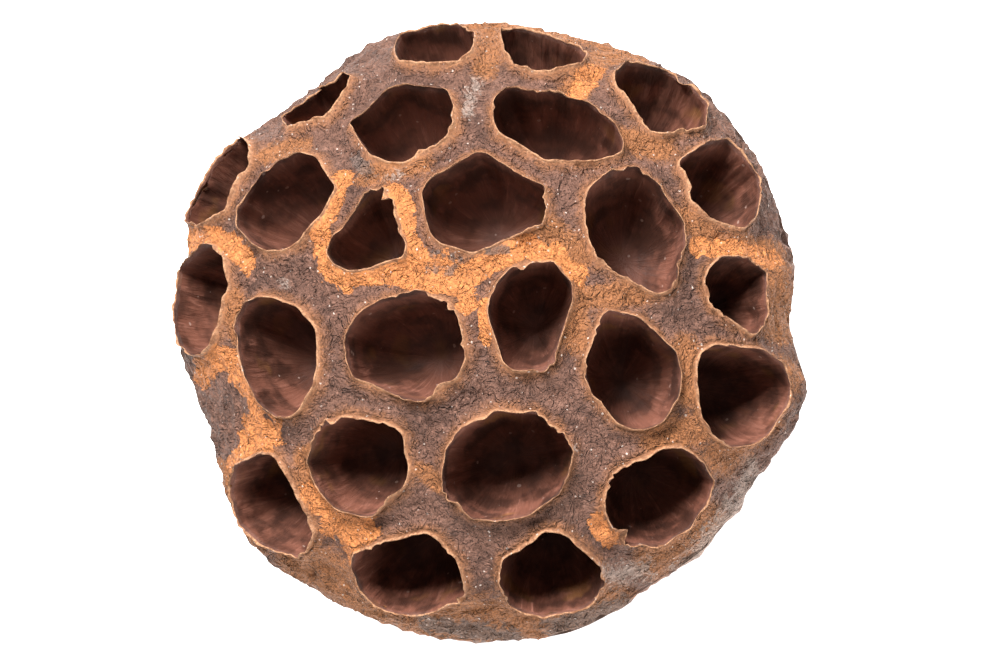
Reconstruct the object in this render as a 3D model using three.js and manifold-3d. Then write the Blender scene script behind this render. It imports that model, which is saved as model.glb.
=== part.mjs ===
// Dried lotus pod: the woody seed head of a lotus, cut from its stalk, with its seeds fallen out.
// One grown piece. It stands on the cut face of its neck, with the domed face of open cells up.
// Millimetres, +Z up. The origin is the centre of the cut face.

import * as THREE from 'three';
import { mergeVertices } from 'three/addons/utils/BufferGeometryUtils.js';
import Module from 'manifold-3d';

// Driving dimensions
const rimRadius = 44.5; // mean radius at the shoulder, the widest level
const shoulderHeight = 38; // from the cut face up to the shoulder
const domeHeight = 24; // from the shoulder up to the crown of the face
const footRadius = 9; // cut face of the neck

const bodySides = 60; // columns round the body
const domeRings = 9; // rings from the shoulder to the crown
const lobeFade = 4; // power by which the rim's lobes die away towards the crown and the neck

const axisShare = 0.65; // a cell leans outwards by this share of the face's own slope
const deepestCell = 16; // depth of a full-size cell
const depthPerRadius = 2.4; // depth of a small cell, for each millimetre of its mean radius
const mouthClearance = 14; // how far a cutting tool stands above a cell's mouth

// The flank below the shoulder: share of the rim's radius, and height as a share of the shoulder's
const flankProfile = [
  [0.27, 0.105],
  [0.48, 0.26],
  [0.72, 0.47],
  [0.9, 0.685],
  [0.985, 0.87],
];

// A cell from its floor to its mouth: share of the mouth's radius, and share of the cell's depth
const cellProfile = [
  [0, -1],
  [0.42, -0.94],
  [0.7, -0.74],
  [0.88, -0.44],
  [1, 0],
];

// Lobes and notches that the rim dried into: bearing, bulge in millimetres, half width in degrees
const rimLobes = [
  [-2, -2.1, 7],
  [-12, 2.2, 10],
  [42, 1.2, 18],
  [75, -0.5, 10],
  [110, 1, 8],
  [128, -0.9, 9],
  [155, 1.9, 16],
  [181, 1.1, 7],
  [197, -1.8, 12],
  [223, 1.5, 10],
  [285, 0.5, 8],
  [302, -1, 8],
  [325, -0.5, 12],
];

// Each cell's mouth: its corners as places across the face, in millimetres, anticlockwise from above
const cells = [
  // outer ring
  [
    [-11.4, 38.2], [-10.2, 35.8], [-5.2, 34.6], [-2, 34.8], [0, 36.6], [-0.1, 40.2], [-2.2, 41.9],
    [-5.2, 42.4], [-11.2, 40.9],
  ],
  [
    [4.6, 37], [6, 34.8], [8.4, 33.6], [11, 33.1], [15, 34.6], [15.7, 36], [14.5, 37.4], [8, 40.1],
    [5.2, 40.9], [3.3, 40.4],
  ],
  [
    [19.9, 31.3], [24.6, 24.7], [26.6, 24.1], [29.2, 25], [31.6, 25.5], [31.6, 29], [29.2, 31.8],
    [26.1, 34.2], [21, 35.2], [19.5, 33.4],
  ],
  [
    [29.8, 17.2], [30.2, 14.7], [32.4, 12.4], [34.8, 11.6], [37, 11.2], [38.7, 13.2], [39.3, 17.2],
    [38.5, 20], [34.4, 24.6], [30.8, 22.6], [28.6, 20],
  ],
  [
    [33, 0.4], [35, -1.2], [38.3, -3.5], [40, -1.8], [40.5, 0], [40.2, 1.4], [39.9, 5.6], [37.6, 7.3],
    [34.2, 7], [32.7, 5.2], [32.2, 3.2],
  ],
  [
    [31, -11.4], [31.6, -14.8], [33, -17.2], [35, -18.3], [37.6, -18], [39.6, -16.4], [41.6, -12.2],
    [42.4, -9.4], [41.8, -6.8], [39.2, -5], [36.6, -5], [33.4, -4.9], [31.8, -5.8], [31, -7.6],
  ],
  [
    [19.6, -29.4], [21, -31.5], [25.6, -31.4], [29.4, -29.2], [31.9, -25.6], [32.7, -22.8], [31.4, -20.4],
    [28.8, -18.5], [26.6, -18.9], [20.6, -21.7], [18.7, -24.8], [18.4, -26.8],
  ],
  [
    [4.8, -39.3], [7, -40.3], [9, -40.7], [14.4, -39.6], [16.2, -38.4], [17.7, -36.2], [17.8, -34.8],
    [15.8, -32.6], [12.8, -30], [10.6, -29.8], [4.6, -33.6], [3.8, -36.4],
  ],
  [
    [-16, -37.2], [-13.6, -39.6], [-11, -40.3], [-5.8, -40.2], [-1.6, -38.9], [-0.7, -37.2],
    [-1.5, -33.8], [-4.4, -30.3], [-5.8, -29.8], [-12.2, -31.1], [-16.1, -32.3], [-16.9, -34.4],
  ],
  [
    [-34.4, -25.2], [-33.2, -27.4], [-29.2, -30.6], [-24.6, -32.2], [-22.8, -31.4], [-21.6, -29.2],
    [-22.4, -27], [-25.6, -20.4], [-27.2, -18.9], [-29.2, -18.6], [-33.5, -19.9], [-34.8, -23],
  ],
  [
    [-39.5, -12.4], [-38.6, -15.6], [-36.6, -18.2], [-35.2, -17.9], [-32.9, -14.6], [-32.9, -12],
    [-35.4, -9.1], [-37.6, -8.3], [-39.4, -9.4],
  ],
  [
    [-43.1, 4.6], [-43, 0.4], [-42.2, -2.6], [-40.2, -4.3], [-38, -4.4], [-36, -3.2], [-34.7, 0],
    [-33.7, 5], [-34, 8.4], [-36.2, 10.6], [-37.8, 10.8], [-39.8, 9.8], [-42.4, 8.6],
  ],
  [
    [-37.2, 23.8], [-39.1, 20.4], [-40.4, 17.6], [-41.4, 14.8], [-38, 13.8], [-34.4, 15.4], [-32.8, 19.8],
    [-31.2, 22], [-31.6, 25.2], [-34.2, 27.4],
  ],
  [
    [-26.2, 27], [-20.2, 28.1], [-18.6, 30.6], [-17, 33.9], [-18.4, 34.8], [-19.6, 33.4], [-22.2, 33],
    [-22.8, 31.5], [-24.6, 30.3], [-27.1, 28.9],
  ],
  // middle ring
  [
    [-15.2, 24.9], [-12.7, 21.2], [-10.6, 20.2], [-8.2, 20], [-2.3, 23.4], [-1.3, 24.6], [-1.4, 28],
    [-2.7, 30.6], [-8.8, 31.7], [-11, 31.3], [-14.8, 27.6], [-16.6, 26.6],
  ],
  [
    [4.1, 26], [5, 23.6], [11.6, 19.8], [16.8, 19.9], [21.4, 21], [21.4, 22.8], [20.4, 25.2],
    [16.5, 28.6], [12.4, 29.9], [5.3, 30.8], [4, 29.6], [3.8, 28.2],
  ],
  [
    [16.9, 10.8], [18.1, 6.3], [22.6, 3.5], [26, 1.4], [27.8, 1.9], [28.7, 3], [28.7, 5], [29.6, 8],
    [29.5, 11.4], [26.2, 16.8], [23.4, 19.2], [22, 19.2], [18.4, 17.1], [17.1, 16], [16.8, 14.2],
  ],
  [
    [17.4, -11.4], [20.6, -15.7], [22.6, -16.5], [24.4, -16.4], [26.6, -15.4], [28.7, -12.2], [29, -9],
    [28.4, -6.2], [24, -1.6], [19.6, -0.9], [18.4, -3.4], [16.7, -7.9],
  ],
  [
    [-2.5, -24.4], [-1, -26.6], [1, -28.3], [4, -28.5], [8.8, -27.7], [12.6, -25], [14, -22.6],
    [14.8, -19.4], [13.3, -17], [10.2, -14.6], [4.8, -14.1], [0.4, -16.2], [-1.9, -19], [-2.7, -22],
  ],
  [
    [-21, -23.2], [-18.4, -26.6], [-15.4, -27.5], [-12.9, -27.6], [-8.2, -24], [-7.4, -21.6],
    [-7.9, -19.4], [-7.9, -17.2], [-9, -16], [-13.2, -14.9], [-16.4, -14.4], [-19.8, -15.8], [-22, -20.2],
  ],
  [
    [-31.9, -4.6], [-31, -8.2], [-28.8, -12], [-26.2, -13.9], [-24.2, -14.1], [-22.6, -13.2],
    [-20.3, -10], [-19.9, -7.2], [-20.2, -2.2], [-22.8, 0.6], [-26.6, 2.3], [-29.2, 2.7], [-31.2, 1.6],
    [-32.2, -0.4],
  ],
  [
    [-32.5, 12.8], [-30, 10.3], [-27.6, 8.9], [-24.8, 8.9], [-22.4, 10], [-19.9, 13], [-17.7, 17],
    [-20.9, 22], [-23.4, 23], [-29.1, 20.7], [-31.4, 17.6], [-32.7, 14.8],
  ],
  // inner cells
  [
    [-16.5, 11.1], [-17.8, 10.4], [-18.3, 7.8], [-17.3, 6.1], [-15.4, 5.2], [-12.3, 5.5], [-7.7, 6.9],
    [-7.6, 8.3], [-9.5, 14.9], [-10.4, 16.6], [-12.5, 16.4],
  ],
  [
    [-4.1, 10], [-2.5, 8.6], [2, 7], [4.4, 8], [8.2, 10], [11.1, 10.9], [11.7, 13.6], [11.2, 16.1],
    [7.4, 18.2], [3.4, 20.9], [2.1, 21.3], [0, 20.2], [-4.6, 17.4], [-5.5, 15.6],
  ],
  [
    [4.8, -4], [5.8, -7.8], [7.2, -9], [11, -8.9], [12.4, -7.6], [13.8, -3.4], [15.3, 0.2], [15, 2.8],
    [12.7, 5.8], [10.6, 5.7], [7.4, 5.2], [5.4, 2.9], [4.4, 1.2], [4, -0.4],
  ],
  [
    [-15.6, -6.6], [-14.8, -9.4], [-8.4, -12], [-5.4, -12.6], [-3.2, -12], [-2.4, -10.8], [-0.4, -10],
    [0.8, -7.2], [0.8, -5.4], [-0.4, -1], [-1.8, 0.8], [-5.8, 1.8], [-9.8, 1.2], [-13.6, -0.3],
    [-16, -3.6],
  ],
];

const { euclideanModulo, radToDeg } = THREE.MathUtils;

// How far the rim stands out beyond its mean radius at a bearing, in millimetres
function rimBulge(bearing) {
  return rimLobes.reduce((sum, [centre, bulge, halfWidth]) => {
    const away = euclideanModulo(bearing - centre + 180, 360) - 180;
    return sum + bulge * Math.exp(-((away / halfWidth) ** 2));
  }, 0);
}

// Half outline of the pod, from the middle of the cut face up to the crown
function bodyProfile() {
  const points = [new THREE.Vector2(0, 0), new THREE.Vector2(footRadius, 0)];
  for (const [share, level] of flankProfile) {
    points.push(new THREE.Vector2(share * rimRadius, level * shoulderHeight));
  }
  for (let ring = 0; ring < domeRings; ring += 1) {
    const lean = (Math.PI / 2) * (1 - ring / domeRings);
    points.push(new THREE.Vector2(rimRadius * Math.sin(lean), shoulderHeight + domeHeight * Math.cos(lean)));
  }
  points.push(new THREE.Vector2(0, shoulderHeight + domeHeight));
  return points;
}

// The solid pod before its cells are opened
function bodyGeometry() {
  const geometry = new THREE.LatheGeometry(bodyProfile(), bodySides);
  geometry.rotateX(Math.PI / 2);
  const place = geometry.attributes.position;
  for (let i = 0; i < place.count; i += 1) {
    const radius = Math.hypot(place.getX(i), place.getY(i));
    if (radius <= footRadius) continue;
    const bulge = rimBulge(radToDeg(Math.atan2(place.getY(i), place.getX(i))));
    const spread = 1 + (bulge / rimRadius) * (radius / rimRadius) ** lobeFade;
    place.setXY(i, place.getX(i) * spread, place.getY(i) * spread);
  }
  return geometry;
}

// The place on the smooth dome above a place across the face
function onDome(x, y) {
  const height = domeHeight * Math.sqrt(Math.max(0, 1 - (x * x + y * y) / rimRadius ** 2));
  return new THREE.Vector3(x, y, shoulderHeight + height);
}

// The centre of a cell's mouth on the dome, with X outwards in the mouth's plane and Z up the cell
function cellMatrix(centre) {
  const reach = Math.hypot(centre.x, centre.y);
  const slope = Math.atan2(domeHeight ** 2 * reach, rimRadius ** 2 * (centre.z - shoulderHeight));
  return new THREE.Matrix4()
    .makeTranslation(centre.x, centre.y, centre.z)
    .multiply(new THREE.Matrix4().makeRotationZ(Math.atan2(centre.y, centre.x)))
    .multiply(new THREE.Matrix4().makeRotationY(axisShare * slope));
}

// The space of one cell, from its floor to well above its mouth
function cellGeometry(corners) {
  const count = corners.length;
  const middleX = corners.reduce((sum, [x]) => sum + x, 0) / count;
  const middleY = corners.reduce((sum, [, y]) => sum + y, 0) / count;
  const matrix = cellMatrix(onDome(middleX, middleY));
  const inverse = matrix.clone().invert();
  const mouth = corners.map(([x, y]) => onDome(x, y).applyMatrix4(inverse));
  const meanRadius = mouth.reduce((sum, corner) => sum + Math.hypot(corner.x, corner.y), 0) / count;
  const depth = Math.min(deepestCell, depthPerRadius * meanRadius);

  const profile = cellProfile.map(([share, level]) => new THREE.Vector2(share, level * depth));
  profile.push(new THREE.Vector2(1, mouthClearance), new THREE.Vector2(0, mouthClearance));
  const geometry = new THREE.LatheGeometry(profile, count);
  geometry.rotateX(Math.PI / 2);
  const place = geometry.attributes.position;
  for (let i = 0; i < place.count; i += 1) {
    const { x: share } = profile[i % profile.length];
    const corner = mouth[Math.floor(i / profile.length) % count];
    place.setXY(i, corner.x * share, corner.y * share);
  }
  return geometry.applyMatrix4(matrix);
}

// manifold-3d opens the cells in the solid pod
const wasm = await Module();
wasm.setup();

function toSolid(geometry) {
  geometry.deleteAttribute('normal');
  geometry.deleteAttribute('uv');
  const merged = mergeVertices(geometry);
  return new wasm.Manifold(new wasm.Mesh({
    numProp: 3,
    vertProperties: merged.attributes.position.array,
    triVerts: merged.index.array,
  }));
}

function toGeometry(solid) {
  const mesh = solid.getMesh();
  const geometry = new THREE.BufferGeometry();
  geometry.setAttribute('position', new THREE.BufferAttribute(mesh.vertProperties, 3));
  geometry.setIndex(new THREE.BufferAttribute(mesh.triVerts, 1));
  geometry.computeVertexNormals();
  return geometry;
}

function podGeometry() {
  let solid = toSolid(bodyGeometry());
  for (const cell of cells) {
    solid = solid.subtract(toSolid(cellGeometry(cell)));
  }
  return toGeometry(solid);
}

// Dusky purple-brown skin, dry and matte
const skin = new THREE.MeshStandardMaterial({ color: 0x6b4f45, roughness: 0.85, metalness: 0 });

const pod = new THREE.Mesh(podGeometry(), skin);
pod.name = 'lotus_pod';

const lotusPod = new THREE.Group();
lotusPod.add(pod);

export default lotusPod;
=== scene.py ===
import bisect
import math

import bmesh
import bpy
from mathutils import Matrix, Vector, geometry, kdtree, noise


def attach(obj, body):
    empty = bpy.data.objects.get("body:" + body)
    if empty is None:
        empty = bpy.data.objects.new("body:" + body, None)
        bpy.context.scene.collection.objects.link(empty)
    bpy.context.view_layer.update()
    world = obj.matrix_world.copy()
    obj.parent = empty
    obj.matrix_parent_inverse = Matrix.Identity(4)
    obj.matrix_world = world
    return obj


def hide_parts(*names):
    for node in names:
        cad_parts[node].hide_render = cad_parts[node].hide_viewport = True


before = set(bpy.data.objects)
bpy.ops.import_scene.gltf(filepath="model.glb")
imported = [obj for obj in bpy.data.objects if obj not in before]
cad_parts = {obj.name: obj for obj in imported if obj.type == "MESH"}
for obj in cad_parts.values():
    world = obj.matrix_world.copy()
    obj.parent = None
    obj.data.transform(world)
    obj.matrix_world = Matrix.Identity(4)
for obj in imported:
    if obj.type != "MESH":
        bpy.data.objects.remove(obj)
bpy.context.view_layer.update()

mm = 0.001
farAway = 20 * mm  # stands for the distance to a mouth where none is near

# Where the skin has worn or coloured: strokes across the pod, each a reach and then its
# places, in millimetres
patches = {
    "bare": [
        (1.2, (-17, 18.8), (-18.3, 15.5), (-20.3, 12), (-19.6, 9), (-18.8, 6.2), (-16.2, 3.6)),
        (1.2, (-16.2, 4), (-12, 5), (-9, 5.6), (-6.5, 6)), (1.2, (-9.6, 16.2), (-8, 12.5), (-6.8, 8)),
        (1.8, (-6.5, 6), (-3.5, 5), (0, 3.8)), (0.9, (-10, 4.2), (-5, 2.8), (-1, 2.6)),
        (1.0, (0.6, 3), (1, 0)), (1.3, (1, 4.2), (5, 6.2), (9, 8.2), (13, 7), (15.5, 4.5)),
        (0.7, (3.4, 0.3), (3.6, -4.5)),
        (1.6, (-40, -6.8), (-36, -5.2), (-33, -6.5)), (0.9, (-33, -6.5), (-31.5, -10), (-30, -13)),
        (2.1, (-31, -15.6), (-28.5, -16.2)), (1.1, (-31, -17.5), (-35, -19.6)),
        (1.8, (-21, -25), (-19, -28)), (1.9, (-19, -28), (-15, -29.5)), (1.2, (-17.5, -30), (-16.5, -33)),
        (1.4, (-44, 13), (-38, 12.6), (-34, 10.6)), (1.2, (-34, 10.6), (-31.5, 8)),
        (1.2, (32, 8.5), (37, 8.6), (41, 8)), (1.4, (15, 31), (17, 34)), (1.1, (17.5, -29), (18.8, -31)),
    ],
    "rust": [
        (1.8, (37, 9), (41, 9), (42.3, 3), (42, -2)), (1.8, (14.5, 31), (17.5, 37.5), (22, 39)),
        (1.6, (2, 41), (2, 35)), (2.0, (26, -17.5), (31, -16.5)),
        (3.4, (-26, -33), (-18, -38), (-10, -42), (-3, -42.5)), (3.2, (0, -42.5), (8, -42.5), (18, -40)),
        (1.5, (15.5, 1), (15.7, -5)), (1.4, (-23, -19.5), (-22.5, -25)),
        (1.4, (-14, 19), (-6, 20.5)), (1.7, (12, 10.5), (16, 7)), (1.5, (30, 12.5), (34, 9.5)),
        (1.4, (-30, 24), (-24, 24.5)), (1.4, (-33, -2), (-33.5, 3)), (1.6, (-38, -20.5), (-33, -31)),
        (1.0, (-6, -22), (-3.5, -24)), (1.5, (17, 1), (24, 1.8)), (1.4, (30, -5), (30.5, -12)),
        (1.6, (22, 24), (27, 22.5)),
        (2.0, (34, -20), (40, -14), (43, -8)), (2.0, (24, -34), (32, -28)), (2.4, (-8, 44), (18, 42)),
    ],
    "scuff": [
        (1.3, (-15.5, 21.5), (-13.5, 19.5)), (0.6, (-4, 7.4), (0, 6.4)), (0.8, (-4, 5.6), (-1.5, 5)),
        (0.6, (4, 7.4), (6.5, 7.9)), (1.5, (-8, -42.5), (4, -44)), (1.8, (10, -43), (20, -40)),
    ],
    "chalk": [
        (1.0, (-26, 4.5), (-25, 4.3)), (2.0, (18, -36), (23, -35)), (1.8, (27, -36), (34, -28), (38, -21)),
        (0.9, (12, -20), (15, -19.5)), (0.8, (-11, 18.6), (-9, 18.8)), (1.2, (1, 33), (0, 28)),
    ],
}

# Torn flaps of the lips: place across the pod, reach along the lip and how far they hang in
tears = [
    (-0.6, 27, 0.9, 0.9), (-1.4, 24.5, 0.5, 0.5), (-5.6, 21.2, 0.9, 0.6), (28.8, 2.8, 0.6, 0.7),
    (20.2, -30.4, 0.5, 1.1), (-3.6, -39.8, 1.5, 0.8), (-1.2, -38.8, 0.6, 0.8), (-9.4, -26.2, 1.3, 0.6),
    (28.6, 33.4, 0.8, 1.7), (8.4, 5.4, 0.7, 0.7), (-2.4, -11.6, 1.2, 0.5), (0.6, -5.4, 0.3, 0.5),
    (-10.2, 15.6, 0.5, 0.6), (-23, 32.4, 0.8, 0.8), (-19.8, 34, 0.5, 0.6), (32, -5, 0.7, 0.5),
    (17.6, -35.4, 0.6, 0.6), (3, -14.4, 0.8, 0.6), (18, -13.2, 0.4, 0.8), (-19, 20.6, 0.5, 0.5),
    (-7.9, 10.4, 0.6, 0.3), (-22.3, -28.4, 0.7, 0.6),
]

# What a user would change about the pod's build
pod = {
    "node": "lotus_pod",
    "wallAngle": 48,  # a sharper edge than this, in degrees, parts the face from a cell's wall
    "poleEdges": 8,  # the middle of a cell's floor joins more edges than this
    "planScale": 36 * mm,  # length in the flat plan of one radian down the dome
    "lobeFade": 4,  # the rim's lobes die away inwards by this power, as on the solid
    "mouthStep": 0.38 * mm,  # spacing of the points round a mouth
    "mouthSoftness": 0.45 * mm,  # how far the corners of a mouth are rounded
    "faceStep": 0.8 * mm,  # spacing of the face between mouths
    "fineStep": 0.45 * mm,  # and beside a mouth
    "fineReach": 1.4 * mm,  # how far from a mouth the fine spacing goes
    "flankColumns": 384,
    "flankRings": 46,
}

# The torn skin round each mouth
lips = {
    "foot": 0.38 * mm,  # width of the lip, where it rises from the face
    "crest": 0.12 * mm,  # width of its torn top edge
    "gapShare": 0.3,  # it never takes more of the gap to the next mouth than this
    "rise": 0.4 * mm,
    "riseTorn": 0.5 * mm,  # how much the height varies
    "tooth": 0.38 * mm,  # how far the torn edge wanders in and out
}

# The cells below their mouths
cellWalls = {
    "shares": [0.045, 0.1, 0.18, 0.28, 0.4, 0.52, 0.64, 0.75, 0.84, 0.91, 0.96, 0.99],
    "roundness": 2.4,
    "closing": 0.55,
    "fold": 0.22 * mm,  # fine folds that run down the wall
    "dent": 0.35 * mm,  # wider unevenness
    "fibreStretch": 0.12,  # the smaller, the longer the fibres that run down the wall
}

# The cut end of the stalk, under the pod
neck = {
    "rings": 14,
    "canals": 6,  # outer air canals
    "canalPitch": 5.2 * mm,  # from the middle to the outer air canals
    "middleCanal": (0.4 * mm, -0.3 * mm),  # one more, a little off the middle
    "canalRadius": 1.5 * mm,
    "canalDepth": 1.1 * mm,
    "roughness": 0.14 * mm,
}

# Relief of the dried skin
relief = {
    "collarRise": 0.95 * mm,  # the skin draws up towards each mouth
    "collarReach": 1.1 * mm,
    "trough": 1.0 * mm,  # and sinks between them
    "troughReach": 2.6 * mm,
    "swell": 0.4 * mm,
    "pucker": 0.5 * mm,
    "crumple": 0.45 * mm,  # of the rim, towards the flank
    "rimStart": 1.1,  # lean of the dome, in radians, where the rim begins
    "rimFade": 0.35,  # and over how much more lean it takes over
    "grain": 0.06 * mm,
    "flankRib": 0.8 * mm,
    "flankWrinkle": 0.42 * mm,
}


def walkLoops(edges):
    # closed rings of vertices, in a repeatable order
    waiting = {e.index: e for e in edges}
    loops = []
    while waiting:
        edge = waiting.pop(min(waiting))
        start, vert = edge.verts
        loop = [start]
        while vert != start:
            loop.append(vert)
            edge = next(e for e in vert.link_edges if e.index in waiting)
            del waiting[edge.index]
            vert = edge.other_vert(vert)
        loops.append(loop)
    return loops


def spreadFaces(first, allowed):
    # every face that is reached from the first one over allowed edges
    reached = {first.index: first}
    front = [first]
    while front:
        for edge in front.pop().edges:
            if not allowed(edge):
                continue
            for face in edge.link_faces:
                if face.index not in reached:
                    reached[face.index] = face
                    front.append(face)
    return reached


def curveBetween(a, b, c, d, t):
    # Catmull-Rom value between b and c
    return b + ((c - a) * t + (2 * a - 5 * b + 4 * c - d) * t * t + (3 * b - a - 3 * c + d) * t * t * t) / 2


def smoothRow(row, position):
    # the curve's value at a position along an open row of values
    last = len(row) - 1
    start = min(max(int(position), 0), last - 1)
    around = [row[min(max(start + step, 0), last)] for step in (-1, 0, 1, 2)]
    return curveBetween(*around, position - start)


class PodShape:
    # The smooth outside of the pod, from the sizes of the solid
    def __init__(self, bm, skin):
        verts = {v.index: v for f in skin.values() for v in f.verts}.values()
        widest = max(verts, key=lambda v: v.co.xy.length)
        self.shoulder = widest.co.z
        self.height = max(v.co.z for v in verts) - self.shoulder
        rim = [v.co for v in verts if abs(v.co.z - self.shoulder) < 0.05 * mm]
        rim = sorted((math.atan2(co.y, co.x), co.xy.length) for co in rim)
        self.rimBearings = [bearing for bearing, radius in rim]
        self.rimRadii = [radius for bearing, radius in rim]
        self.radius = sum(self.rimRadii) / len(rim)
        levels = {}
        for v in verts:
            if v.co.z < self.shoulder - 0.05 * mm:
                levels.setdefault(round(v.co.z, 5), []).append(v.co.xy.length)
        self.levels = sorted(levels, reverse=True)
        self.levelRadii = [sum(levels[z]) / len(levels[z]) for z in self.levels]
        self.levels.insert(0, self.shoulder)
        self.levelRadii.insert(0, self.radius)

    def bulge(self, bearing):
        # how far the rim stands out past its mean radius, or in
        bearing = (bearing + math.pi) % math.tau - math.pi
        count = len(self.rimBearings)
        place = bisect.bisect(self.rimBearings, bearing) - 1
        low, high = self.rimBearings[place % count], self.rimBearings[(place + 1) % count]
        t = ((bearing - low) % math.tau) / ((high - low) % math.tau)
        around = [self.rimRadii[(place + step) % count] for step in (-1, 0, 1, 2)]
        return curveBetween(*around, t) - self.radius

    def facePoint(self, bearing, lean):
        # lean 0 is the crown, a quarter turn is the shoulder
        share = math.sin(lean)
        radius = self.radius * share + self.bulge(bearing) * share ** (pod["lobeFade"] + 1)
        height = self.shoulder + self.height * math.cos(lean)
        return Vector((radius * math.cos(bearing), radius * math.sin(bearing), height))

    def faceNormal(self, co):
        return Vector((co.x / self.radius ** 2, co.y / self.radius ** 2,
                       (co.z - self.shoulder) / self.height ** 2)).normalized()

    def flankPoint(self, bearing, down):
        # down 0 is the shoulder, 1 is the cut face
        place = down * (len(self.levels) - 1)
        radius = smoothRow(self.levelRadii, place)
        height = smoothRow(self.levels, place)
        radius += self.bulge(bearing) * (radius / self.radius) ** (pod["lobeFade"] + 1)
        return Vector((radius * math.cos(bearing), radius * math.sin(bearing), height))

    def toPlan(self, co):
        bearing = math.atan2(co.y, co.x)
        lean = math.atan2(co.xy.length / self.radius, (co.z - self.shoulder) / self.height)
        for turn in range(3):
            reach = self.radius + self.bulge(bearing) * math.sin(lean) ** pod["lobeFade"]
            lean = math.atan2(co.xy.length / reach, (co.z - self.shoulder) / self.height)
        return Vector((math.cos(bearing), math.sin(bearing))) * lean * pod["planScale"]

    def fromPlan(self, flat):
        return self.facePoint(math.atan2(flat.y, flat.x), flat.length / pod["planScale"])


def evenOutline(points, step, softness):
    # a closed outline at even spacing, with its corners rounded
    count = len(points)
    lengths = [(points[(i + 1) % count] - points[i]).length for i in range(count)]
    total = sum(lengths)
    wanted = max(24, round(total / step))
    even = []
    travelled, place = 0.0, 0
    for k in range(wanted):
        target = total * k / wanted
        while travelled + lengths[place] < target:
            travelled += lengths[place]
            place += 1
        t = (target - travelled) / lengths[place]
        even.append(points[place].lerp(points[(place + 1) % count], t))
    reach = max(1, round(2 * softness * wanted / total))
    weights = [math.exp(-(s * total / wanted / softness) ** 2) for s in range(-reach, reach + 1)]
    rounded = []
    for k in range(wanted):
        spot = Vector((0, 0))
        for s, weight in zip(range(-reach, reach + 1), weights):
            spot += even[(k + s) % wanted] * weight
        rounded.append(spot / sum(weights))
    return rounded


class Cell:
    # One seed cell: its mouth in the flat plan, its axis and its floor
    def __init__(self, shape, loop, faces):
        verts = {v.index: v for f in faces.values() for v in f.verts}.values()
        pole = min((v for v in verts if len(v.link_edges) > pod["poleEdges"]), key=lambda v: v.co.z)
        ring = [e.other_vert(pole).co for e in pole.link_edges]
        self.floor = pole.co.copy()
        centre = sum((v.co for v in loop), Vector()) / len(loop)
        across = [(a - self.floor).cross(b - self.floor) for a in ring for b in ring]
        up = centre - self.floor
        self.axis = sum((n if n.dot(up) > 0 else -n for n in across), Vector()).normalized()
        outline = [shape.toPlan(v.co) for v in loop]
        if sum(a.x * b.y - a.y * b.x for a, b in zip(outline, outline[1:] + outline[:1])) < 0:
            outline.reverse()
        self.outline = evenOutline(outline, pod["mouthStep"], pod["mouthSoftness"])
        count = len(self.outline)
        self.outward = []
        for i in range(count):
            along = self.outline[(i + 1) % count] - self.outline[i - 1]
            self.outward.append(Vector((along.y, -along.x)).normalized())


def readSolid():
    bm = bmesh.new()
    bm.from_mesh(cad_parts[pod["node"]].data)
    bmesh.ops.remove_doubles(bm, verts=bm.verts, dist=0.001 * mm)
    bm.normal_update()
    for table in (bm.verts, bm.edges, bm.faces):
        table.index_update()
    crown = max(bm.verts, key=lambda v: v.co.z)
    sharp = math.radians(pod["wallAngle"])
    skin = spreadFaces(crown.link_faces[0], lambda e: e.calc_face_angle(0) < sharp)
    shape = PodShape(bm, skin)
    rims = [e for e in bm.edges if sum(f.index in skin for f in e.link_faces) == 1]
    rims = [e for e in rims if min(v.co.z for v in e.verts) > shape.shoulder]
    cells = []
    for loop in walkLoops(rims):
        wall = next(f for f in loop[0].link_faces if f.index not in skin)
        faces = spreadFaces(wall, lambda e: not any(f.index in skin for f in e.link_faces))
        cells.append(Cell(shape, loop, faces))
    bm.free()
    return shape, cells


shape, cells = readSolid()
print("solid read:", len(cells), "cells, mean rim radius", round(shape.radius / mm, 2), "mm")


def distanceTrees():
    # nearest point of any mouth, which cell it is of, and where each cell's points start
    every = kdtree.KDTree(sum(len(cell.outline) for cell in cells))
    owners = []
    starts = []
    for number, cell in enumerate(cells):
        starts.append(len(owners))
        for spot in cell.outline:
            every.insert((spot.x, spot.y, 0), len(owners))
            owners.append(number)
    every.balance()
    return every, owners, starts


mouthTree, mouthOwner, mouthStart = distanceTrees()


def gapAt(number, spot):
    # distance from a point on one mouth to the nearest other mouth
    for co, index, distance in mouthTree.find_n((spot.x, spot.y, 0), 60):
        if mouthOwner[index] != number:
            return distance
    return farAway


def planNoise(seed, x, y, size):
    return noise.noise(Vector((x / size, y / size, seed)))


def lipWidths(number, cell):
    # how wide the lip is at each point of a mouth, narrower where the next mouth is close
    return [min(lips["foot"], lips["gapShare"] * gapAt(number, spot)) for spot in cell.outline]


def easeSheet(bm):
    # evens out the triangles of a flat sheet, and takes back any move that folds it over
    inner = [e for e in bm.edges if not e.is_boundary]
    bmesh.ops.beautify_fill(bm, faces=bm.faces, edges=inner, method="ANGLE")
    loose = [v for v in bm.verts if not v.is_boundary]
    before = {v: v.co.copy() for v in loose}
    bmesh.ops.smooth_vert(bm, verts=loose, factor=0.5, use_axis_x=True, use_axis_y=True)
    for turn in range(4):
        bm.normal_update()
        folded = [v for f in bm.faces if f.normal.z < 0.5 for v in f.verts if v in before]
        if not folded:
            break
        for vert in folded:
            vert.co = before[vert]


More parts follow.
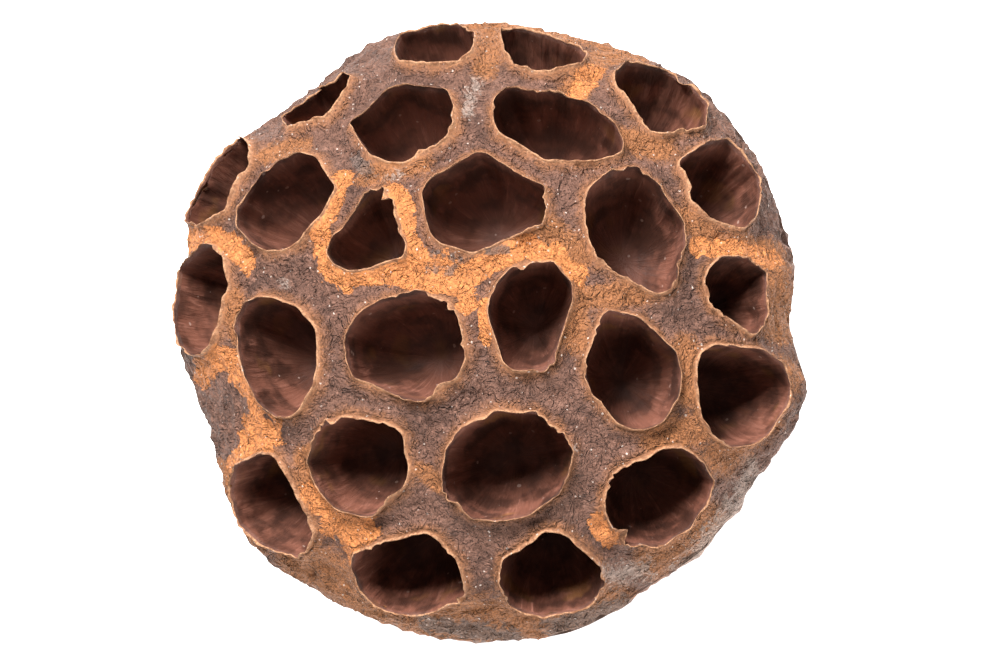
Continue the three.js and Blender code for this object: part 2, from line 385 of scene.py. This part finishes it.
def latticeSpots(reach, step, wanted):
    # an even lattice of loose points, a little out of line, wherever they are wanted
    rowStep = step * math.sqrt(3) / 2
    rows = math.ceil(reach / rowStep)
    spots = []
    for row in range(-rows, rows + 1):
        for place in range(-rows, rows + 1):
            x = (place + 0.5 * (row % 2)) * step
            y = row * rowStep
            x += 0.3 * step * planNoise(3.1, x, y, 2 * step)
            y += 0.3 * step * planNoise(8.6, x, y, 2 * step)
            spot = Vector((x, y))
            if wanted(spot):
                spots.append(spot)
    return spots


def sheetBetween(rim, holes, spots):
    # a triangulated sheet inside a rim, round its holes and through the loose points between them
    rings = holes + [rim]
    bm = bmesh.new()
    ringLayer = bm.verts.layers.int.new("ring")
    columnLayer = bm.verts.layers.int.new("column")
    points, edges = [], []
    for ring in rings:
        start = len(points)
        points.extend(ring)
        edges.extend((start + k, start + (k + 1) % len(ring)) for k in range(len(ring)))
    points.extend(spots)
    filled = geometry.delaunay_2d_cdt(points, edges, [], 0, 1e-9)
    made, faces = filled[0], filled[2]
    verts = [bm.verts.new((spot.x, spot.y, 0)) for spot in made]
    place = 0
    for number, ring in enumerate(rings):
        for column in range(len(ring)):
            verts[place][ringLayer] = number + 1
            verts[place][columnLayer] = column
            place += 1
    for face in faces:
        corners = [verts[k] for k in face]
        owners = {vert[ringLayer] for vert in corners}
        if len(owners) == 1 and 0 < min(owners) <= len(holes):
            a, b, c = (vert.co.xy for vert in sorted(corners, key=lambda vert: vert[columnLayer]))
            if (b - a).cross(c - a) > 0:  # the triangle fills a hole
                continue
        bm.faces.new(corners)
    bm.normal_update()
    for turn in range(4):
        easeSheet(bm)
    return bm


def insideMouth(flat):
    # true inside any mouth, by which side of the nearest stretch of outline the point is
    co, index, distance = mouthTree.find((flat.x, flat.y, 0))
    number = mouthOwner[index]
    cell = cells[number]
    column = index - mouthStart[number]
    return (flat.xy - cell.outline[column]).dot(cell.outward[column]) < 0


def buildFacePlan():
    # the face as a flat sheet with a hole for each mouth and the shoulder for its edge
    rimPlan = pod["planScale"] * math.pi / 2
    holes = []
    for number, cell in enumerate(cells):
        cell.lipWidths = lipWidths(number, cell)
        around = zip(cell.outline, cell.outward, cell.lipWidths)
        holes.append([spot + out * width for spot, out, width in around])
    bearings = [math.tau * k / pod["flankColumns"] for k in range(pod["flankColumns"])]
    rim = [Vector((math.cos(bearing), math.sin(bearing))) * rimPlan for bearing in bearings]

    def distance(flat):
        if flat.length > rimPlan - 0.6 * pod["fineStep"] or insideMouth(flat):
            return 0
        return mouthTree.find((flat.x, flat.y, 0))[2]

    near = lips["foot"] + 0.5 * pod["fineStep"]
    spots = latticeSpots(rimPlan, pod["fineStep"], lambda flat: near < distance(flat) < pod["fineReach"])
    spots += latticeSpots(rimPlan, pod["faceStep"], lambda flat: distance(flat) >= pod["fineReach"])
    return sheetBetween(rim, holes, spots)


def easeIn(share):
    # a soft step from 0 to 1
    share = min(max(share, 0), 1)
    return share * share * (3 - 2 * share)


def skinLift(spot, distance):
    # how far the dried skin stands out from the smooth dome at a point of the plan
    lean = spot.length / pod["planScale"]
    onRim = easeIn((lean - relief["rimStart"]) / relief["rimFade"])
    collar = relief["collarRise"] * math.exp(-distance / relief["collarReach"])
    trough = relief["trough"] * (1 - math.exp(-distance / relief["troughReach"])) * (1 - 0.8 * onRim)
    x, y = spot
    swell = relief["swell"] * planNoise(1.3, x, y, 8 * mm)
    away = easeIn(distance / (1.5 * mm))
    pucker = relief["pucker"] * (0.5 - 2 * abs(planNoise(5.2, x, y, 3.1 * mm))) * (0.3 + 0.7 * away)
    pucker += 0.5 * relief["pucker"] * (0.5 - 2 * abs(planNoise(6.2, x, y, 1.5 * mm))) * away
    grain = relief["grain"] * planNoise(7.7, x, y, 0.9 * mm)
    around = spot.normalized() * 11
    crumple = 0.5 - 2 * abs(noise.noise(Vector((around.x, around.y, lean * 3.5))))
    crumple += 0.6 * noise.noise(Vector((around.x * 2.3, around.y * 2.3, lean * 9)))
    return collar - trough + swell + pucker + grain + onRim * away * relief["crumple"] * crumple


def facePlace(spot, distance, lift=0):
    base = shape.fromPlan(spot)
    return base + shape.faceNormal(base) * (skinLift(spot, distance) + lift)


def ringEdges(verts):
    # the open edges of a ring, each once
    inRing = set(verts)
    starts = [(e, v) for v in verts for e in v.link_edges if e.is_boundary and e.verts[0] == v]
    return [e for e, v in starts if e.other_vert(v) in inRing]


def extrudeRing(bm, ring, place, columnLayer, slot):
    # a new ring of vertices beside an open one, each put where the place function says
    edges = ringEdges(ring)
    made = bmesh.ops.extrude_edge_only(bm, edges=edges)["geom"]
    verts = [item for item in made if isinstance(item, bmesh.types.BMVert)]
    for vert in verts:
        vert.co = place(vert[columnLayer])
    for item in made:
        if isinstance(item, bmesh.types.BMFace):
            item.material_index = slot
            item.smooth = True
    return verts


def strokeDistance(co, places):
    # from a point to the nearest stretch of a stroke, seen from above
    spot = co.xy
    best = math.inf
    for start, end in zip(places, places[1:]):
        start, end = Vector(start), Vector(end)
        along = end - start
        t = min(max((spot - start).dot(along) / along.length_squared, 0), 1)
        best = min(best, (spot - start - along * t).length)
    return best


class Notes:
    # what the materials need to know at each point of the surface
    def __init__(self, bm):
        layers = bm.verts.layers
        self.lip = layers.float.new("lipDistance")  # millimetres from the torn edge of a mouth
        self.depth = layers.float.new("cellDepth")  # 0 on the outside, up to 1 on a cell's floor
        self.flank = layers.float.new("flankShare")  # 0 on the face, up to 1 at the cut neck
        self.fibre = layers.float_vector.new("fibre")  # place in millimetres, squeezed along the fibres
        self.worn = {name: layers.float.new(name) for name in patches}  # over 0.5 inside a patch

    def write(self, vert, lip, depth, flank, fibre):
        for name, strokes in patches.items():
            if depth or flank > 0.3:
                vert[self.worn[name]] = 0
                continue
            nearest = min(strokeDistance(vert.co / mm, places) / reach for reach, *places in strokes)
            vert[self.worn[name]] = max(0, 1 - nearest / 2)
        vert[self.lip] = lip / mm
        vert[self.depth] = depth
        vert[self.flank] = flank
        vert[self.fibre] = fibre / mm


def liftFace(bm, notes):
    ringLayer = bm.verts.layers.int["ring"]
    columnLayer = bm.verts.layers.int["column"]
    for vert in bm.verts:
        spot = vert.co.xy
        distance = mouthTree.find((spot.x, spot.y, 0))[2]
        if 0 < vert[ringLayer] <= len(cells):
            distance = cells[vert[ringLayer] - 1].lipWidths[vert[columnLayer]]
        vert.co = facePlace(spot, distance)
        notes.write(vert, distance, 0, 0, vert.co)


def tornOffset(seed, along, strength):
    # in and out of a torn edge: slow wandering, broken steps and sharp little teeth
    slow = noise.noise(Vector((along / (3.1 * mm), seed, 0.5)))
    steps = noise.cell(Vector((along / (1.7 * mm), seed, 4.5))) - 0.5
    quick = noise.noise(Vector((along / (0.9 * mm), seed, 4.5)))
    teeth = max(0, noise.noise(Vector((along / (0.75 * mm), seed, 9.5))) - 0.1)
    ragged = 0.12 + 2.8 * max(0, noise.noise(Vector((along / (6.5 * mm), seed, 13.5))) + 0.08)
    return strength * (0.6 * slow + ragged * (0.45 * steps + 0.4 * quick + 1.3 * teeth))


def flapAt(place):
    # how far a torn flap hangs in at a place on a lip
    hang = 0
    for x, y, reach, depth in tears:
        away = math.hypot(place.x / mm - x, place.y / mm - y) / reach
        if away < 2.5:
            hang = max(hang, depth * mm * math.exp(-away ** 2))
    return hang


def buildLip(bm, notes, number, ring):
    # the thin torn edge of one mouth: up from the face, over its crest and down to the wall
    cell = cells[number]
    columnLayer = bm.verts.layers.int["column"]
    count = len(cell.outline)
    torn, rise = [], []
    for k, spot in enumerate(cell.outline):
        along = k * pod["mouthStep"]
        fade = 1 - abs(2 * k / count - 1) ** 24  # both ends of the round meet
        flap = flapAt(shape.fromPlan(spot))
        torn.append(fade * tornOffset(number * 7.3, along, lips["tooth"]) + flap)
        height = noise.noise(Vector((along / (2.4 * mm), number * 3.7, 2.5)))
        height += 0.7 * noise.noise(Vector((along / (0.9 * mm), number * 3.7, 6.5)))
        rise.append(lips["rise"] + fade * lips["riseTorn"] * height - 0.3 * flap)
    for width, share in ((lips["crest"], 0.9), (0.0, 1.0), (0.06 * mm, 0.35)):

        def place(k, width=width, share=share):
            reach = min(1, cell.lipWidths[k] / lips["foot"])
            spot = cell.outline[k] + cell.outward[k] * (width - torn[k]) * reach
            return facePlace(spot, width, share * rise[k] * reach)

        ring = extrudeRing(bm, ring, place, columnLayer, 0)
        for vert in ring:
            notes.write(vert, 0, 0, 0, vert.co)
    return ring


def buildWall(bm, notes, number, ring):
    # the wall of one cell, from under its lip down to the middle of its floor
    cell = cells[number]
    columnLayer = bm.verts.layers.int["column"]
    mouth = [facePlace(spot, 0) - cell.floor for spot in cell.outline]
    heights = [offset.dot(cell.axis) for offset in mouth]
    spokes = [offset - cell.axis * height for offset, height in zip(mouth, heights)]
    girth = sum(spoke.length for spoke in spokes) / len(spokes)
    for share in cellWalls["shares"]:
        closing = (1 - share ** cellWalls["roundness"]) ** cellWalls["closing"]
        inside = easeIn(share / 0.15) * closing

        def place(k, share=share, closing=closing, inside=inside):
            turn = spokes[k].normalized() * 4
            fold = noise.noise(turn * 1.9 + cell.axis * share * 0.8 + Vector((number * 5.1, 0, 0)))
            dent = noise.noise(turn * 0.35 + cell.axis * share * 1.6 + Vector((0, number * 4.3, 0)))
            push = inside * (cellWalls["fold"] * (abs(fold) * 2 - 0.5) + cellWalls["dent"] * dent)
            out = spokes[k] * closing - spokes[k].normalized() * push
            return cell.floor + cell.axis * heights[k] * (1 - share) + out

        ring = extrudeRing(bm, ring, place, columnLayer, 1)
        for vert in ring:
            k = vert[columnLayer]
            down = heights[k] * share
            fibre = spokes[k].normalized() * girth + cell.axis * down * cellWalls["fibreStretch"] + cell.floor
            notes.write(vert, down, share, 0, fibre)
    ring = extrudeRing(bm, ring, lambda k: cell.floor, columnLayer, 1)
    bmesh.ops.pointmerge(bm, verts=ring, merge_co=cell.floor)


def flankPlace(bearing, down):
    # a place on the ribbed and wrinkled flank, which is smooth at the shoulder
    base = shape.flankPoint(bearing, down)
    out = Vector((math.cos(bearing), math.sin(bearing), 0))
    grown = easeIn(down / 0.12) * (1 - 0.8 * easeIn((down - 0.86) / 0.14))
    around = out * 7
    rib = noise.noise(around * 1.1 + Vector((0, 0, down * 0.8)))
    crease = 0.5 - 2 * abs(noise.noise(around * 3.0 + Vector((3, 0, down * 1.6))))
    wrinkle = noise.noise(around * 6.5 + Vector((0, 7, down * 6)))
    push = relief["flankRib"] * rib + relief["flankWrinkle"] * (crease + 0.6 * wrinkle)
    return base + out * push * grown


def buildFlank(bm, notes, ring):
    columnLayer = bm.verts.layers.int["column"]
    count = pod["flankColumns"]
    for step in range(1, pod["flankRings"] + 1):
        down = step / pod["flankRings"]
        ring = extrudeRing(bm, ring, lambda k: flankPlace(math.tau * k / count, down), columnLayer, 0)
        for vert in ring:
            bearing = math.tau * vert[columnLayer] / count
            fibre = Vector((math.cos(bearing), math.sin(bearing), 0)) * shape.radius * 0.7
            fibre.z = vert.co.z * 0.3
            notes.write(vert, farAway, 0, down, fibre)
    return ring


def buildNeck(bm, notes, ring):
    # the cut end of the stalk, with its air canals
    columnLayer = bm.verts.layers.int["column"]
    count = pod["flankColumns"]
    edge = shape.levelRadii[-1]
    bearings = [math.tau * k / neck["canals"] for k in range(neck["canals"])]
    centres = [Vector((math.cos(bearing), math.sin(bearing))) * neck["canalPitch"] for bearing in bearings]
    centres.append(Vector(neck["middleCanal"]))

    def cutPlace(k, share):
        bearing = math.tau * k / count
        x, y = share * edge * math.cos(bearing), share * edge * math.sin(bearing)
        canal = min((Vector((x, y)) - centre).length for centre in centres)
        hollow = neck["canalDepth"] * (1 - easeIn((canal / neck["canalRadius"] - 0.75) / 0.35))
        rough = neck["roughness"] * (0.5 + planNoise(2.2, x, y, 0.7 * mm))
        return Vector((x, y, (hollow + max(0, rough)) * easeIn((1 - share) / 0.12)))

    for step in range(1, neck["rings"]):
        share = 1 - step / neck["rings"]
        ring = extrudeRing(bm, ring, lambda k: cutPlace(k, share), columnLayer, 2)
        for vert in ring:
            notes.write(vert, farAway, 0, 1, vert.co)
    ring = extrudeRing(bm, ring, lambda k: cutPlace(k, 0), columnLayer, 2)
    bmesh.ops.pointmerge(bm, verts=ring, merge_co=cutPlace(0, 0))


def buildPod():
    bm = buildFacePlan()
    notes = Notes(bm)
    liftFace(bm, notes)
    for face in bm.faces:
        face.smooth = True
    print("face lifted:", len(bm.faces), "faces")
    ringLayer = bm.verts.layers.int["ring"]
    rings = {}
    for vert in bm.verts:
        rings.setdefault(vert[ringLayer], []).append(vert)
    for number in range(len(cells)):
        under = buildLip(bm, notes, number, rings[number + 1])
        buildWall(bm, notes, number, under)
    print("cells built:", len(bm.faces), "faces")
    foot = buildFlank(bm, notes, rings[len(cells) + 1])
    buildNeck(bm, notes, foot)
    bmesh.ops.recalc_face_normals(bm, faces=bm.faces)
    print("open edges:", sum(not e.is_manifold for e in bm.edges))
    print("triangles:", sum(len(f.verts) - 2 for f in bm.faces))
    mesh = bpy.data.meshes.new("lotusPod")
    bm.to_mesh(mesh)
    bm.free()
    piece = bpy.data.objects.new("lotusPod", mesh)
    bpy.context.scene.collection.objects.link(piece)
    return piece


podPiece = buildPod()


# Colours are scene-linear
skinLook = {
    "dark": (0.074, 0.036, 0.025), "middle": (0.122, 0.06, 0.041), "light": (0.195, 0.1, 0.07),
    "rust": (0.3, 0.122, 0.045), "rustDeep": (0.145, 0.056, 0.024),
    "bare": (0.47, 0.172, 0.054), "bareDeep": (0.31, 0.115, 0.038),
    "scuff": (0.1, 0.076, 0.066), "chalk": (0.28, 0.215, 0.18),
    "crest": (0.37, 0.2, 0.11), "crestDeep": (0.18, 0.078, 0.037),
    "dust": (0.55, 0.46, 0.4),
    "flankDark": (0.09, 0.041, 0.028), "flankPale": (0.33, 0.2, 0.145),
    "dustPitch": 0.6, "dustShare": 0.24,  # millimetres between specks, and how many of them show
    "wrinkleDepth": 3 * mm, "pitDepth": 1 * mm,  # for a change of 1 in their noise, which changes far less
    "fibreDepth": 0.06 * mm, "bareDepth": 0.15 * mm,
}
liningLook = {
    "dark": (0.055, 0.019, 0.011), "middle": (0.165, 0.06, 0.037), "light": (0.3, 0.128, 0.088),
    "amber": (0.25, 0.11, 0.03), "dust": (0.5, 0.36, 0.3),
    "dustPitch": 1.1, "dustShare": 0.06,
    "streakDepth": 0.6 * mm, "fibreDepth": 0.14 * mm,
}
cutLook = {"pith": (0.34, 0.23, 0.14), "stain": (0.13, 0.07, 0.04)}


def fillInputs(tree, node, inputs):
    # an output of another node is linked, and anything else is set as a constant
    for key, value in inputs.items():
        if isinstance(value, bpy.types.NodeSocket):
            tree.links.new(value, node.inputs[key])
        else:
            node.inputs[key].default_value = value


def addNode(tree, kind, inputs, **settings):
    node = tree.nodes.new(kind)
    for name, value in settings.items():
        setattr(node, name, value)
    fillInputs(tree, node, inputs)
    return node


def blend(tree, share, low, high, mode="MIX"):
    # the low colour at share 0 and the high one at share 1
    low = (*low, 1) if isinstance(low, tuple) else low
    high = (*high, 1) if isinstance(high, tuple) else high
    node = addNode(tree, "ShaderNodeMix", {0: share, 6: low, 7: high}, data_type="RGBA", blend_type=mode)
    return node.outputs[2]


def noiseValue(tree, vector, scale, detail=3, roughness=0.6, distortion=0):
    inputs = {"Vector": vector, "Scale": scale, "Detail": detail}
    inputs |= {"Roughness": roughness, "Distortion": distortion}
    return addNode(tree, "ShaderNodeTexNoise", inputs).outputs[0]


def between(tree, value, low, high):
    # 0 below the low value, 1 above the high one, with a soft step; low may be the larger
    inputs = {"Value": value, "From Min": low, "From Max": high}
    return addNode(tree, "ShaderNodeMapRange", inputs, interpolation_type="SMOOTHSTEP").outputs[0]


def sums(tree, operation, a, b=0.0):
    return addNode(tree, "ShaderNodeMath", {0: a, 1: b}, operation=operation).outputs[0]


def scaledSum(tree, value, factor, extra):
    # the value times the factor, plus something extra
    inputs = {0: value, 1: factor, 2: extra}
    return addNode(tree, "ShaderNodeMath", inputs, operation="MULTIPLY_ADD").outputs[0]


def attribute(tree, name, kind="Fac"):
    return addNode(tree, "ShaderNodeAttribute", {}, attribute_name=name).outputs[kind]


def newGroup(name, ins, outs):
    # a shared effect, with its inputs and outputs as pairs of name and socket type
    tree = bpy.data.node_groups.new(name, "ShaderNodeTree")
    for label, kind in ins:
        tree.interface.new_socket(label, in_out="INPUT", socket_type=kind)
    for label, kind in outs:
        tree.interface.new_socket(label, in_out="OUTPUT", socket_type=kind)
    return tree, tree.nodes.new("NodeGroupInput").outputs, tree.nodes.new("NodeGroupOutput").inputs


def useGroup(tree, group, inputs):
    node = tree.nodes.new("ShaderNodeGroup")
    node.node_tree = group
    fillInputs(tree, node, inputs)
    return node.outputs


def fibreGrainGroup():
    # short matted fibres: a value round 0.5, finer or coarser with Size in millimetres
    tree, ins, outs = newGroup("fibreGrain", [("Vector", "NodeSocketVector"), ("Size", "NodeSocketFloat")],
                               [("Fine", "NodeSocketFloat"), ("Coarse", "NodeSocketFloat")])
    scale = sums(tree, "DIVIDE", 1.0, ins["Size"])
    fine = noiseValue(tree, ins["Vector"], scale, 4, 0.65, 0.7)
    coarse = noiseValue(tree, ins["Vector"], sums(tree, "MULTIPLY", scale, 0.28), 5, 0.7, 1.2)
    tree.links.new(fine, outs["Fine"])
    tree.links.new(coarse, outs["Coarse"])
    return tree


def dustGroup():
    # scattered pale specks: 1 on a speck
    tree, ins, outs = newGroup("dustSpecks", [("Vector", "NodeSocketVector"), ("Pitch", "NodeSocketFloat"),
                                              ("Share", "NodeSocketFloat")], [("Mask", "NodeSocketFloat")])
    inputs = {"Vector": ins["Vector"], "Scale": sums(tree, "DIVIDE", 1.0, ins["Pitch"]), "Randomness": 1.0}
    cellsNode = addNode(tree, "ShaderNodeTexVoronoi", inputs, feature="F1")
    lucky = addNode(tree, "ShaderNodeSeparateColor", {0: cellsNode.outputs["Color"]})
    size = between(tree, lucky.outputs[1], 0.0, 1.0)
    size = scaledSum(tree, size, 0.22, 0.06)
    near = sums(tree, "LESS_THAN", cellsNode.outputs["Distance"], size)
    chosen = sums(tree, "LESS_THAN", lucky.outputs[0], ins["Share"])
    tree.links.new(sums(tree, "MULTIPLY", near, chosen), outs["Mask"])
    return tree


def bumpNormal(tree, height, depth, strength=1.0, normal=None):
    # relief of a given depth in metres, on top of any earlier relief
    inputs = {"Height": height, "Distance": depth, "Strength": strength}
    if normal:
        inputs["Normal"] = normal
    return addNode(tree, "ShaderNodeBump", inputs).outputs[0]


def newMaterial(name):
    material = bpy.data.materials.new(name)
    material.use_nodes = True
    tree = material.node_tree
    return material, tree, tree.nodes["Principled BSDF"].inputs


fibreGrain = fibreGrainGroup()
dustSpecks = dustGroup()


def skinMaterial():
    look = skinLook
    material, tree, shader = newMaterial("podSkin")
    fibre = attribute(tree, "fibre", "Vector")
    lip = attribute(tree, "lipDistance")
    flank = attribute(tree, "flankShare")
    grain = useGroup(tree, fibreGrain, {"Vector": fibre, "Size": 0.3})
    broad = noiseValue(tree, fibre, 0.17, 4, 0.65)
    patchy = noiseValue(tree, fibre, 0.7, 5, 0.7, 0.6)

    colour = blend(tree, between(tree, broad, 0.36, 0.56), look["dark"], look["middle"])
    colour = blend(tree, between(tree, patchy, 0.5, 0.72), colour, look["light"])
    # rusty where the skin has worn, and beside each mouth
    rusty = scaledSum(tree, grain["Coarse"], 1.3, attribute(tree, "rust"))
    rustColour = blend(tree, grain["Fine"], look["rustDeep"], look["rust"])
    colour = blend(tree, between(tree, rusty, 0.85, 1.3), colour, rustColour)
    beside = between(tree, sums(tree, "ADD", lip, sums(tree, "MULTIPLY", patchy, 2.4)), 2.9, 1.2)
    colour = blend(tree, sums(tree, "MULTIPLY", beside, 0.75), colour, rustColour)
    # weathering and streaks down the flank
    down = between(tree, flank, 0.0, 0.12)
    streak = between(tree, grain["Coarse"], 0.58, 0.4)
    colour = blend(tree, sums(tree, "MULTIPLY", down, streak), colour, look["flankDark"])
    pale = sums(tree, "MULTIPLY", between(tree, flank, 0.01, 0.08), between(tree, patchy, 0.5, 0.66))
    colour = blend(tree, sums(tree, "MULTIPLY", pale, 0.7), colour, look["flankPale"])
    # bare patches with a crisp scalloped border
    ragged = noiseValue(tree, fibre, 0.3, 6, 0.72, 0.9)
    bare = between(tree, scaledSum(tree, ragged, 1.9, attribute(tree, "bare")), 1.28, 1.35)
    bareTone = between(tree, grain["Coarse"], 0.34, 0.62)
    colour = blend(tree, bare, colour, blend(tree, bareTone, look["bareDeep"], look["bare"]))
    # chalky weathering and grey scuffs
    chalk = between(tree, scaledSum(tree, grain["Coarse"], 2.4, attribute(tree, "chalk")), 1.75, 2.15)
    colour = blend(tree, sums(tree, "MULTIPLY", chalk, 0.7), colour, look["chalk"])
    scuff = between(tree, scaledSum(tree, patchy, 2.0, attribute(tree, "scuff")), 1.45, 1.75)
    colour = blend(tree, sums(tree, "MULTIPLY", scuff, 0.7), colour, look["scuff"])
    # the pale torn edge itself
    crest = between(tree, scaledSum(tree, patchy, 1.6, lip), 1.08, 0.84)
    crestColour = blend(tree, between(tree, patchy, 0.4, 0.56), look["crestDeep"], look["crest"])
    colour = blend(tree, crest, colour, crestColour)
    # fibres, and pale specks of dust over them
    shade = blend(tree, between(tree, grain["Fine"], 0.3, 0.7), (0.4, 0.37, 0.36), (1.45, 1.42, 1.4))
    colour = blend(tree, 0.55, colour, shade, "MULTIPLY")
    inputs = {"Vector": fibre, "Scale": 3.0, "Detail": 2.0}
    jitter = addNode(tree, "ShaderNodeTexNoise", inputs).outputs["Color"]
    inputs = {0: jitter, 1: (0.35, 0.35, 0.35), 2: fibre}
    crooked = addNode(tree, "ShaderNodeVectorMath", inputs, operation="MULTIPLY_ADD").outputs[0]
    inputs = {"Vector": crooked, "Pitch": look["dustPitch"], "Share": look["dustShare"]}
    dust = useGroup(tree, dustSpecks, inputs)["Mask"]
    dust = sums(tree, "MULTIPLY", dust, between(tree, patchy, 0.42, 0.55))
    colour = blend(tree, sums(tree, "MULTIPLY", dust, 0.7), colour, look["dust"])
    tree.links.new(colour, shader["Base Color"])
    tree.links.new(scaledSum(tree, grain["Fine"], 0.3, 0.6), shader["Roughness"])
    shader["Specular IOR Level"].default_value = 0.25

    # wrinkles and pits fade out beside a lip
    away = between(tree, lip, 0.1, 0.8)
    wrinkle = sums(tree, "PINGPONG", noiseValue(tree, fibre, 0.34, 3, 0.5, 1.4), 0.09)
    normal = bumpNormal(tree, sums(tree, "MULTIPLY", wrinkle, away), look["wrinkleDepth"])
    pits = noiseValue(tree, fibre, 0.8, 3, 0.6, 0.3)
    normal = bumpNormal(tree, sums(tree, "MULTIPLY", pits, away), look["pitDepth"], 1.0, normal)
    normal = bumpNormal(tree, grain["Fine"], look["fibreDepth"], 1.0, normal)
    normal = bumpNormal(tree, sums(tree, "MULTIPLY", bare, -1), look["bareDepth"], 0.7, normal)
    tree.links.new(normal, shader["Normal"])
    return material


def liningMaterial():
    look = liningLook
    material, tree, shader = newMaterial("cellLining")
    fibre = attribute(tree, "fibre", "Vector")
    depth = attribute(tree, "cellDepth")
    place = addNode(tree, "ShaderNodeTexCoord", {}).outputs["Object"]
    inputs = {0: place, "Scale": 1 / mm}
    cloudPlace = addNode(tree, "ShaderNodeVectorMath", inputs, operation="SCALE").outputs[0]
    cloud = noiseValue(tree, cloudPlace, 0.22, 3, 0.55)
    streaks = useGroup(tree, fibreGrain, {"Vector": fibre, "Size": 0.32})
    colour = blend(tree, between(tree, cloud, 0.34, 0.6), look["dark"], look["middle"])
    pale = between(tree, streaks["Coarse"], 0.48, 0.75)
    pale = sums(tree, "MULTIPLY", pale, between(tree, cloud, 0.4, 0.6))
    colour = blend(tree, pale, colour, look["light"])
    amber = between(tree, noiseValue(tree, cloudPlace, 0.13, 2), 0.58, 0.72)
    colour = blend(tree, sums(tree, "MULTIPLY", amber, 0.5), colour, look["amber"])
    shade = blend(tree, between(tree, streaks["Fine"], 0.3, 0.65), (0.4, 0.36, 0.34), (1.2, 1.2, 1.2))
    colour = blend(tree, 0.3, colour, shade, "MULTIPLY")
    # painted shade: the lining darkens towards the dark colour deeper down each cell, standing in for the
    # dimmer light at the bottom of the recess
    paintedDepthShade = between(tree, depth, 0.35, 1.0)
    colour = blend(tree, sums(tree, "MULTIPLY", paintedDepthShade, 0.35), colour, look["dark"])
    inputs = {"Vector": cloudPlace, "Pitch": look["dustPitch"], "Share": look["dustShare"]}
    dust = useGroup(tree, dustSpecks, inputs)["Mask"]
    colour = blend(tree, sums(tree, "MULTIPLY", dust, 0.4), colour, look["dust"])
    tree.links.new(colour, shader["Base Color"])
    tree.links.new(scaledSum(tree, streaks["Fine"], 0.3, 0.4), shader["Roughness"])
    normal = bumpNormal(tree, streaks["Coarse"], look["streakDepth"], 0.5)
    normal = bumpNormal(tree, streaks["Fine"], look["fibreDepth"], 0.5, normal)
    tree.links.new(normal, shader["Normal"])
    return material


def cutMaterial():
    look = cutLook
    material, tree, shader = newMaterial("cutNeck")
    fibre = attribute(tree, "fibre", "Vector")
    grain = useGroup(tree, fibreGrain, {"Vector": fibre, "Size": 0.35})
    colour = blend(tree, between(tree, grain["Coarse"], 0.35, 0.62), look["stain"], look["pith"])
    tree.links.new(colour, shader["Base Color"])
    shader["Roughness"].default_value = 0.9
    tree.links.new(bumpNormal(tree, grain["Fine"], 0.0003, 0.8), shader["Normal"])
    return material


for makeMaterial in (skinMaterial, liningMaterial, cutMaterial):
    podPiece.data.materials.append(makeMaterial())
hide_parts(pod["node"])
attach(podPiece, "root")
print("materials ready")


studio = {
    "floorSize": 6.0,
    "floorGap": 0.2 * mm,  # between the floor and the cut neck
    "floorColour": (0.93, 0.925, 0.915),
    "keySize": 0.6, "keyPower": 70.0, "keyPlace": (-0.2, 0.7, 1.2),
    "fillSize": 1.2, "fillPower": 24.0, "fillPlace": (0.4, -1.0, 0.17),
    "skyStrength": 0.16,
    "floorGlow": 0.85,  # the ground lights itself a little, so that it stays pale
    "lightAim": (0, 0, 0.04),
    "viewTilt": 12, "viewBearing": -40,  # degrees off straight down, and towards which bearing
    "viewDistance": 0.45,
    "sensorWidth": 36,  # millimetres
    "aimShare": 0.4,  # how far up the dome, from the shoulder, the camera looks
    "frameWidth": 0.1413,  # width of the view at the pod
    "shift": (0.0254, -0.0149),
}


def addFloor():
    bpy.ops.mesh.primitive_plane_add(size=studio["floorSize"], location=(0, 0, -studio["floorGap"]))
    floor = bpy.context.object
    floor.name = "floor"
    material, tree, shader = newMaterial("paleFloor")
    shader["Base Color"].default_value = (*studio["floorColour"], 1)
    shader["Roughness"].default_value = 0.9
    shader["Emission Color"].default_value = (*studio["floorColour"], 1)
    shader["Emission Strength"].default_value = studio["floorGlow"]
    floor.data.materials.append(material)


def addSoftbox(name, size, power, place):
    light = bpy.data.lights.new(name, "AREA")
    light.size = size
    light.energy = power
    lamp = bpy.data.objects.new(name, light)
    lamp.location = place
    towards = Vector(studio["lightAim"]) - Vector(place)
    lamp.rotation_euler = towards.to_track_quat("-Z", "Y").to_euler()
    bpy.context.scene.collection.objects.link(lamp)


def addCamera():
    tilt, bearing = math.radians(studio["viewTilt"]), math.radians(studio["viewBearing"])
    back = Vector((math.sin(tilt) * math.cos(bearing), math.sin(tilt) * math.sin(bearing), math.cos(tilt)))
    aim = Vector((0, 0, shape.shoulder + studio["aimShare"] * shape.height))
    right = (-back).cross(Vector((0, 1, 0))).normalized()
    up = right.cross(-back)
    lens = bpy.data.cameras.new("camera")
    lens.sensor_width = studio["sensorWidth"]
    lens.lens = studio["sensorWidth"] * studio["viewDistance"] / studio["frameWidth"]
    lens.shift_x, lens.shift_y = studio["shift"]
    lens.clip_start = 0.01
    camera = bpy.data.objects.new("camera", lens)
    turn = Matrix((right, up, back)).transposed().to_4x4()
    camera.matrix_world = Matrix.Translation(aim + back * studio["viewDistance"]) @ turn
    bpy.context.scene.collection.objects.link(camera)
    bpy.context.scene.camera = camera


def addStudio():
    addFloor()
    for name in ("key", "fill"):
        addSoftbox(name + "Light", studio[name + "Size"], studio[name + "Power"], studio[name + "Place"])
    world = bpy.data.worlds.new("studio")
    world.use_nodes = True
    sky = world.node_tree.nodes["Background"]
    sky.inputs["Color"].default_value = (1, 1, 1, 1)
    sky.inputs["Strength"].default_value = studio["skyStrength"]
    bpy.context.scene.world = world
    bpy.context.scene.view_settings.view_transform = "Standard"
    addCamera()


addStudio()
print("studio ready")
